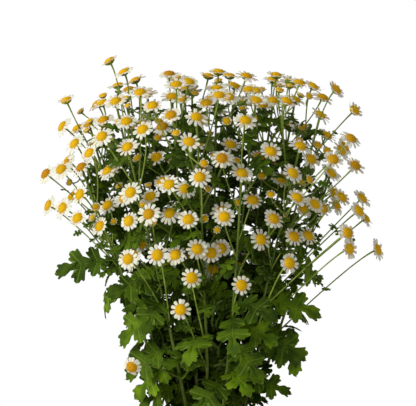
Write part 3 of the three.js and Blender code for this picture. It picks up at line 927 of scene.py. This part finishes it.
def discs_on(which):
    """The domes of the daisies numbered which, and the florets that stand on them. Floret i stands at the
    root of i from the middle, a golden angle on from the last, and leans outwards with the dome."""
    out = disc_radius * np.array([0.5, 1.0, 0.8, 0.45])
    rise = np.array([-1.2, -0.2, 0, 0]) + dome_height(out) * np.array([0, 0, 1, 1])
    dome = turned_rings(np.stack([out, rise], 1), dome_sides)
    ends = np.array([[0, 0, -1.2], [0, 0, disc_rise]])
    domes = rounds(on_each(dome, which), on_each(ends, which), age=daisies["age"][which], ring=0.6)
    i = np.arange(floret_count)
    share = np.sqrt((i + 0.5) / floret_count)
    out = 0.95 * disc_radius * share
    size = mix(0.55, 0.66, share) * (1 + 0.12 * np.cos(5 * i))
    spiral = golden_angle * i
    foot = side_by_side(out * np.cos(spiral), out * np.sin(spiral), dome_height(out) - 0.2)
    up = unit(side_by_side(foot[:, 0], foot[:, 1], floret_lean))
    across = unit(np.cross(up, [0.2, 0.9, 0.1]))
    turn = full_turn(floret_sides)[:, None]
    ring = across[:, None] * np.cos(turn) + np.cross(up, across)[:, None] * np.sin(turn)
    rings = ((foot + up * 0.35)[:, None] + ring * size[:, None, None])[:, None]
    ends = np.stack([foot - up * 0.2, foot + up * 0.85], 1)
    number = np.repeat(which, floret_count)
    rings, ends = (np.tile(local, (len(which),) + (1,) * (local.ndim - 1)) for local in (rings, ends))
    florets = rounds(seated(rings, number), seated(ends, number), age=daisies["age"][number],
                     ring=np.tile(share, len(which)))
    return [domes, florets]

# %% [markdown]
# ## Stems, stalks and cups
# A stem is a round limb that narrows from its foot to its tip. Stalks leave it on curves, and widen at the
# top into the green cup of small overlapping bracts that holds the daisy.

# %% Cups and limbs of a stem
stem_radius, stem_tip_radius, stalk_radius, cup_depth = 1.9, 0.9, 0.62, 2.8
cup_profile = np.array([[0.75, -3.0], [2.3, -2.7], [4.5, -1.4], [5.1, 0.1], [4.3, 0.35]])
cup_sides, bract_count, scallop_depth = 16, 8, 0.05


def cups_on(which):
    """The cups of the daisies numbered which: a profile turned round, scalloped by its bracts."""
    shift = math.pi * np.arange(len(cup_profile))[:, None]
    scallop = 1 + scallop_depth * np.cos(bract_count * full_turn(cup_sides) + shift)
    ring = turned_rings(cup_profile, cup_sides) * side_by_side(scallop, scallop, 1)
    ends = np.array([[0, 0, -3.1], [0, 0, 0.3]])
    return rounds(on_each(ring, which), on_each(ends, which), tone=0.35)


def path_limbs(paths, stop, radii, rows, sides, tone):
    """Round limbs along curved paths up to a share of their length, with radii from foot to tip."""
    share = stop[:, None] * np.linspace(0, 1, rows)
    radius = np.interp(np.linspace(0, 1, rows), np.linspace(0, 1, len(radii)), radii)
    return limbs(curve_at(paths, share), square_to(paths), radius, sides, tone=tone)


def stop_short(paths, distance):
    """The share of each path that ends a distance before its tip."""
    return 1 - distance / np.linalg.norm(paths[:, 2] - paths[:, 1], axis=1) / 2


def stem_parts(stem):
    """A stem, its stalks and the cups of its daisies."""
    which = np.flatnonzero(daisies["stem"] == stem["number"])
    main = stem["path"][None]
    stem_radii = [stem_radius, 1.5, stem_tip_radius, 1.1]
    parts = [path_limbs(main, stop_short(main, cup_depth), stem_radii, rows=28, sides=10, tone=0.3)]
    limbed = [k for k in which if (heads + buds)[k]["path"] is not None]
    if limbed:
        paths = np.array([(heads + buds)[k]["path"] for k in limbed])
        radii = stalk_radius * np.array([1.25, 1, 1, 1, 1.5])
        stop = stop_short(paths, cup_depth * daisies["size"][limbed])
        tone = looks.uniform(0.4, 1, len(paths))
        parts.append(path_limbs(paths, stop, radii, rows=14, sides=7, tone=tone))
    return parts + [cups_on(which)]

# %% Pieces of each stem
for stem, name in zip(stems, stem_nodes):
    which = np.flatnonzero(daisies["stem"] == stem["number"])
    label = name[-2:]
    add_piece(f"stalks_{label}", stem_parts(stem), stem_finish, name)
    add_piece(f"petals_{label}", [petals_on(which)], petal_finish, name)
    add_piece(f"discs_{label}", discs_on(which), disc_finish, name)
print("petals:", int(daisies["petals"].sum()), "florets:", floret_count * whole)

# %% [markdown]
# ## Leaves
# The blade's margin runs from the stalk up one side to the tip: a small lobe, two large ones and half of
# the end lobe. Each lobe is half an ellipse across its own middle vein, scalloped into rounded teeth. The
# grid's other lines run from the rib to the margin, as the real side veins do, so the lobes may lean
# forward without folding the mesh.

# %% Flat shape of a leaf
lobe_list = [
    {"from": 0.13, "lean": 1.35, "length": 0.10, "half": 0.05, "rib": (0.11, 0.16), "steps": 7},
    {"from": 0.31, "lean": 1.2, "length": 0.22, "half": 0.155, "rib": (0.20, 0.38), "steps": 13},
    {"from": 0.56, "lean": 1.05, "length": 0.24, "half": 0.165, "rib": (0.43, 0.65), "steps": 13},
]
end_lobe = {"from": 0.72, "length": 0.28, "half": 0.2, "rib": (0.70, 0.97), "steps": 10}
wing_along = ([0.1, 0.2, 0.45, 0.7], [0.012, 0.05, 0.095, 0.11])
tooth_depth = 0.28
petiole = [(0.0, 0.012), (0.05, 0.012)]


def teeth_at(step, swing):
    """How far a lobe's margin reaches between and on its rounded teeth, where swing says how many it has."""
    return 1 - tooth_depth * (1 - np.abs(np.cos(swing * math.pi * (step - 0.5))))


def leaf_outline(count, detail):
    """The flat margins of leaves, for both sides: places of the shape (leaves, sides, steps, 2), the points
    of the rib that they are joined to, and how far along its lobe each step is. detail is a share of the
    full number of steps."""
    margin, rib, phase = [], [], []
    for u, v in petiole:
        margin.append(np.broadcast_to([u, v], (count, 2, 1, 2)))
        rib.append([u])
        phase.append([0.0])
    for number, lobe in enumerate(lobe_list):
        step = np.linspace(0, 1, max(4, round(lobe["steps"] * detail)))
        teeth = teeth_at(step, 3)
        size = looks.uniform(0.86, 1.1, (count, 2, 1))
        lean = lobe["lean"] + looks.normal(0, 0.09, (count, 2, 1))
        out = lobe["length"] * size * np.sin(math.pi * step) ** 0.7 * teeth
        aside = -lobe["half"] * np.cos(math.pi * step) * (0.45 + 0.65 * np.sin(math.pi * step)) * teeth
        u = lobe["from"] + out * np.cos(lean) + aside * np.sin(lean)
        v = np.interp(lobe["from"], *wing_along) + out * np.sin(lean) - aside * np.cos(lean)
        margin.append(side_by_side(u, v))
        rib.append(mix(*lobe["rib"], step))
        phase.append(number + step)
    step = np.linspace(0, 0.5, max(4, round(end_lobe["steps"] * detail)))
    teeth = teeth_at(step, 5)
    size = looks.uniform(0.85, 1.0, (count, 2, 1))
    u = end_lobe["from"] + end_lobe["length"] * np.sin(math.pi * step) ** 0.9 * teeth + 0 * size
    narrow = np.cos(math.pi * step) ** 0.8 * (0.5 + 0.8 * np.sin(math.pi * step))
    v = end_lobe["half"] * size * narrow * teeth
    margin.append(side_by_side(u, v))
    rib.append(mix(*end_lobe["rib"], 2 * step))
    phase.append(len(lobe_list) + step)
    return np.concatenate(margin, 2), np.concatenate(rib), np.concatenate(phase)

# %% Blades and ribs of leaves
def leaf_blades(some, detail, half_columns, thickness, tone):
    """Leaves as closed blades: flat places between rib and margin, then the arc and fold of leaf_place,
    with a groove along the rib, lobes that puff up between the veins, and drooping, slightly waved
    margins."""
    margin, rib, phase = leaf_outline(len(some), detail)
    s = np.linspace(-1, 1, 2 * half_columns + 1)
    share = np.abs(s)
    side = margin[:, (s > 0).astype(int)].swapaxes(1, 2)
    u = mix(rib[None, :, None], side[..., 0], share)
    v = side[..., 1] * s
    length = of_all(some, "length")[:, None, None]
    puff = 4 * share * (1 - share) * np.cos(2 * math.pi * phase[:, None])
    wave = np.sin(9 * u + looks.uniform(0, 6.3, (len(some), 1, 1)) + 2 * np.sign(v)) * share ** 2
    lift = length * (0.012 * puff + 0.02 * wave - 0.55 * v ** 2) - 0.3 * (share == 0)
    middle = np.stack([leaf_place(leaf, *spots) for leaf, *spots in zip(some, u, v, lift)])
    flat = side_by_side((s + 1) / 2, phase[:, None])
    return blades(middle, thickness, flat, tone=tone)


def leaf_ribs(some, rows, sides, tone):
    """The stalk and rib of each leaf, as one limb that thins out under the blade."""
    u = np.linspace(0, 0.93, rows)
    line = np.stack([leaf_place(leaf, u, 0 * u, np.full(rows, -0.35) - 0.2 * u) for leaf in some])
    length = of_all(some, "length")[:, None]
    radius = length * mix(0.02, 0.004, u ** 0.6)
    return limbs(line, of_all(some, "side"), radius, sides, tone=tone)

# %% [markdown]
# ## Leaves on the plant
# The large leaves are seen best, so they get the finest grids. Small leaves at the outside get six tenths
# of the steps, and those deep in the plant three tenths, which keeps the whole plant light. Leaves deep in
# the plant are also painted darker green, as painted shade, and outer ones lighter.

# %% Leaves of each stem
def openness(leaf):
    """How far out in the plant a leaf's tip is, from 0 at its middle to 1 at its edge."""
    x, y, _ = leaf["root"] + leaf["forward"] * leaf["length"]
    reach = np.interp(leaf["root"][2], *small_reach)
    return float(np.clip(1.5 * math.hypot(x, y * dome_half_width / dome_half_depth) / reach - 0.45, 0.02, 1))


outer_leaves = [leaf for leaf in small_leaves if openness(leaf) > 0.4]
inner_leaves = [leaf for leaf in small_leaves if openness(leaf) <= 0.4]
leaf_looks = [
    (leaves, {"detail": 1, "half_columns": 4, "thickness": 0.45}, {"rows": 12, "sides": 6}),
    (outer_leaves, {"detail": 0.6, "half_columns": 1, "thickness": 0.35}, {"rows": 5, "sides": 3}),
    (inner_leaves, {"detail": 0.3, "half_columns": 1, "thickness": 0.35}, {"rows": 4, "sides": 3}),
]
for stem, name in zip(stems, stem_nodes):
    parts = []
    for grown, blade_look, rib_look in leaf_looks:
        own = [leaf for leaf in grown if leaf["stem"] == stem["number"]]
        if own:
            # A leaf's tone is how far out it is, times a random share: painted shade that darkens leaves deep
            # in the plant.
            tone = np.array([openness(leaf) * looks.uniform(0.2, 1) for leaf in own])
            parts += [leaf_blades(own, **blade_look, tone=tone), leaf_ribs(own, **rib_look, tone=tone)]
    add_piece(f"leaves_{name[-2:]}", parts, leaf_finish, name)
print("outer and inner leaves:", len(outer_leaves), len(inner_leaves))

# %% [markdown]
# ## Pot
# A plain thrown clay pot has a tapered body, a thick collar and a floor with drain holes. It is one outline
# of corners, each rounded off, that is turned about the vertical, and then the holes are cut.

# %% Finish of the pot
def clay():
    """Fired clay: orange brown in soft patches, with pale bloom from hard water, grit and turning marks."""
    finish, output = new_finish("fired_clay_terracotta")
    place = node(finish, "TexCoord", {}).outputs["Object"]
    height = node(finish, "SeparateXYZ", {0: place}).outputs[2]
    body = blend(finish, band(finish, noise(finish, 26, 4), 0.35, 0.65), linear("#a9603a"), linear("#c17a52"))
    body = blend(finish, band(finish, noise(finish, 1.2), 0.62, 0.72), body, linear("#8f4e2e"))
    damp = maths(finish, "MULTIPLY", band(finish, height, 0.05, 0.0), 0.16)
    bloom = band(finish, maths(finish, "ADD", noise(finish, 11, 6), damp), 0.56, 0.78)
    colour = blend(finish, maths(finish, "MULTIPLY", bloom, 0.6), body, linear("#dcc0a8"))
    rings = maths(finish, "SINE", maths(finish, "MULTIPLY", height, 2 * math.pi / 0.0016))
    grit = maths(finish, "ADD", noise(finish, 0.9, 4), maths(finish, "MULTIPLY", rings, 0.1))
    return surface(finish, output, colour, 0.85, grit, 0.00025, Specular_IOR_Level=0.3)


clay_finish = clay()

# %% Pot
pot_foot_radius, pot_wall, pot_floor, collar_height, collar_proud = 55, 6, 9, 30, 5
drain_radius, drain_circle, drain_count = 5, 30, 3
pot_sides, corner_steps = 128, 6


def body_radius(height):
    """The pot's outer radius at a height, without the collar."""
    return mix(pot_foot_radius, pot_rim - collar_proud, height / pot_height)


def rounded(corners):
    """An outline through corners of radius, height and rounding. The first and last corner only give
    directions."""
    outline = []
    for before, corner, after in zip(corners[:-2], corners[1:-1], corners[2:]):
        middle = np.array(corner[:2], float)
        ends = [middle + unit(np.array(other[:2]) - middle) * corner[2] for other in (before, after)]
        outline.extend(curve_at(np.array([ends[0], middle, ends[1]]), np.linspace(0, 1, corner_steps)))
    return np.array(outline)


collar_foot = pot_height - collar_height
pot_outline = rounded([
    (0, 0, 0), (pot_foot_radius, 0, 2.5), (body_radius(collar_foot), collar_foot, 1),
    (pot_rim - 2, collar_foot + 1.5, 2), (pot_rim, pot_height - 2, 2.5), (pot_rim - 4, pot_height, 1.5),
    (body_radius(pot_height) - pot_wall + 1, pot_height, 1),
    (body_radius(pot_floor) - pot_wall, pot_floor, 4), (0, pot_floor, 0),
])
drains = []
for turn in 2 * math.pi * np.arange(drain_count) / drain_count:
    foot = [drain_circle * math.cos(turn), drain_circle * math.sin(turn), -pot_floor]
    line = np.array([[foot, [foot[0], foot[1], 2 * pot_floor]]])
    drains.append(limbs(line, np.array([[1.0, 0, 0]]), drain_radius, sides=32))
pot_ends = np.array([[[0, 0, 0], [0, 0, pot_floor]]])
pot_shell = rounds(turned_rings(pot_outline, pot_sides)[None], pot_ends)
pot = add_piece("clay_pot", [pot_shell], clay_finish, "pot", drains)
print("pot:", len(pot.data.polygons), "faces,", drain_count, "drain holes")

# %% [markdown]
# ## Soil
# The soil fills the pot to a little under its rim and is heaped a little round the stems. Its surface is a
# ring grid with soft bumps, and loose crumbs of all sizes lie on it.

# %% Finish of the soil
def potting_soil():
    """Moist potting soil: dark brown, each crumb in its own shade."""
    finish, output = new_finish("soil_moist_dark")
    shade = maths(finish, "MULTIPLY", noise(finish, 3, 4), mark(finish, "tone"))
    colour = blend(finish, band(finish, shade, 0.1, 0.6), linear("#251a12"), linear("#5d4630"))
    return surface(finish, output, colour, 0.95, noise(finish, 0.8, 4), 0.0006, Specular_IOR_Level=0.2)


soil_finish = potting_soil()

# %% Soil
soil_gap, soil_crown, soil_rings, soil_sides = 0.35, 2.2, 34, 110
soil_radius = body_radius(soil_level) - pot_wall - soil_gap
bump_count, crumb_count, crumb_margin = 260, 640, 2
bump_least, bump_most = [-soil_radius, -soil_radius, 2.5, -0.5], [soil_radius, soil_radius, 9, 0.6]
bumps = looks.uniform(bump_least, bump_most, (bump_count, 4))


def soil_top(x, y):
    """Height of the soil's surface: a low crown with soft bumps that fade out at the pot's wall."""
    share = np.hypot(x, y) / soil_radius
    away = (x[..., None] - bumps[:, 0]) ** 2 + (y[..., None] - bumps[:, 1]) ** 2
    relief = (bumps[:, 3] * np.exp(-away / bumps[:, 2] ** 2)).sum(-1)
    return soil_level + (soil_crown + relief) * (1 - share ** 4)


soil_low = pot_floor + soil_gap
side = [
    (body_radius(soil_low) - pot_wall - 4, soil_low),
    (body_radius(soil_low + 4) - pot_wall - soil_gap, soil_low + 4),
]
ring_radii = np.linspace(soil_radius, 1.5, soil_rings)
surface_rings = turned_rings([(radius, 0) for radius in ring_radii], soil_sides)
surface_rings[..., 2] = soil_top(surface_rings[..., 0], surface_rings[..., 1])
soil_rows = np.concatenate([turned_rings(side, soil_sides), surface_rings])
soil_ends = np.array([[[0, 0, soil_low], [0, 0, surface_rings[-1, 0, 2]]]])
print("soil from", round(soil_low, 1), "to", round(surface_rings[..., 2].max(), 1), "mm up")

# %% Crumbs
turn = looks.uniform(0, 2 * math.pi, crumb_count)
out = (soil_radius - crumb_margin) * np.sqrt(looks.random(crumb_count))
spot = np.stack([out * np.cos(turn), out * np.sin(turn)], -1)
spot = np.column_stack([spot, soil_top(spot[:, 0], spot[:, 1])])
size = 0.5 + looks.exponential(0.5, crumb_count).clip(0, 1.9)
stretch = looks.uniform(0.7, 1.4, (crumb_count, 1, 1, 3)) * size[:, None, None, None]
crumb = turned_rings([(0.55, -0.6), (0.95, -0.2), (0.9, 0.35), (0.5, 0.75)], 6)
crumb = crumb * stretch * looks.uniform(0.8, 1.15, (crumb_count, 4, 6, 1))
poles = np.array([[0, 0, -0.8], [0, 0, 0.9]]) * stretch[:, 0]
crumbs = rounds(crumb + spot[:, None, None], poles + spot[:, None], tone=looks.uniform(0.2, 1.3, crumb_count))
add_piece("soil_bed", [rounds(soil_rows[None], soil_ends, tone=0.6), crumbs], soil_finish, "soil")
print("crumbs of soil:", crumb_count)

# %% [markdown]
# ## Camera, light and floor
# The photograph looks at the plant from its own height with a long lens, in soft light on pure white. So
# the camera stands about two metres away, a little above the middle of the flowers, and a large soft light
# stands at the front left. The room looks white to the camera but lights the plant less than half as
# strongly, so that it is dark inside. The floor is white paint at the pot, where it takes a soft shadow,
# and runs out into the white room.

# %% Camera
view_centre = np.array([-0.0037, 0.0, 0.341])
view_width, view_rise, lens, sensor = 0.387, math.radians(3), 180, 36
camera = placed("camera", bpy.data.cameras.new("camera"))
camera.data.lens, camera.data.sensor_width = lens, sensor
distance = view_width * lens / sensor
camera.location = view_centre + distance * np.array([0, -math.cos(view_rise), math.sin(view_rise)])
camera.rotation_euler = (math.pi / 2 - view_rise, 0, 0)
bpy.context.scene.camera = camera
bpy.context.scene.view_settings.view_transform = "Standard"
print("camera", round(distance, 2), "m away")

# %% Lights
key_place, key_aim = np.array([-2.1, -1.2, 1.3]), np.array([0, 0, 0.3])
key_size, key_power, room_power, wall_power = 1.3, 50, 0.4, 1.0
light = placed("key_light", bpy.data.lights.new("key_light", "AREA"))
light.data.size, light.data.energy = key_size, key_power
light.location = key_place
toward = unit(key_aim - key_place)
light.rotation_euler = (math.acos(-toward[2]), 0, math.atan2(toward[1], toward[0]) - math.pi / 2)
world = bpy.data.worlds.new("white_room")
bpy.context.scene.world = world
world.use_nodes = True
seen = node(world, "LightPath", {}).outputs["Is Camera Ray"]
room, wall = (node(world, "Background", {"Color": (1, 1, 1, 1), "Strength": power})
              for power in (room_power, wall_power))
both = node(world, "MixShader", {0: seen, 1: room.outputs[0], 2: wall.outputs[0]})
world.node_tree.links.new(both.outputs[0], world.node_tree.nodes["World Output"].inputs["Surface"])
print("key light", key_power, "W, room light", room_power)

# %% Floor
floor_reach, paint_reach, floor_sides = 0.5, 0.2, 64
floor_mesh = bpy.data.meshes.new("floor")
floor_edge = [(floor_reach * math.cos(a), floor_reach * math.sin(a), 0) for a in full_turn(floor_sides)]
floor_mesh.from_pydata(floor_edge, [], [tuple(range(floor_sides))])
floor_finish, floor_output = new_finish("painted_floor_white")
place = node(floor_finish, "TexCoord", {}).outputs["Object"]
away = node(floor_finish, "VectorMath", {0: place}, operation="LENGTH").outputs["Value"]
paint = node(floor_finish, "BsdfPrincipled", {"Base Color": linear("#f4f4f2"), "Roughness": 0.9})
glow = node(floor_finish, "Emission", {"Color": (1, 1, 1, 1)})
both = node(floor_finish, "MixShader", {0: band(floor_finish, away, paint_reach, floor_reach * 0.95),
                                        1: paint.outputs[0], 2: glow.outputs[0]})
floor_finish.node_tree.links.new(both.outputs[0], floor_output.inputs["Surface"])
floor_mesh.materials.append(floor_finish)
floor = placed("floor", floor_mesh)
floor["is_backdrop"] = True
print("floor", 2 * floor_reach, "m across")

# %% [markdown]
# ## Size
# The fine plant has to fill the same box as the solids, so both boxes are measured and how far they differ is
# printed.

# %% Print how far the boxes differ
low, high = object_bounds()
past = [round((a - b) / millimetre, 1) for a, b in zip((*low, *high), (*cad_low, *cad_high))]
print("visual box less packed box, mm:", past)
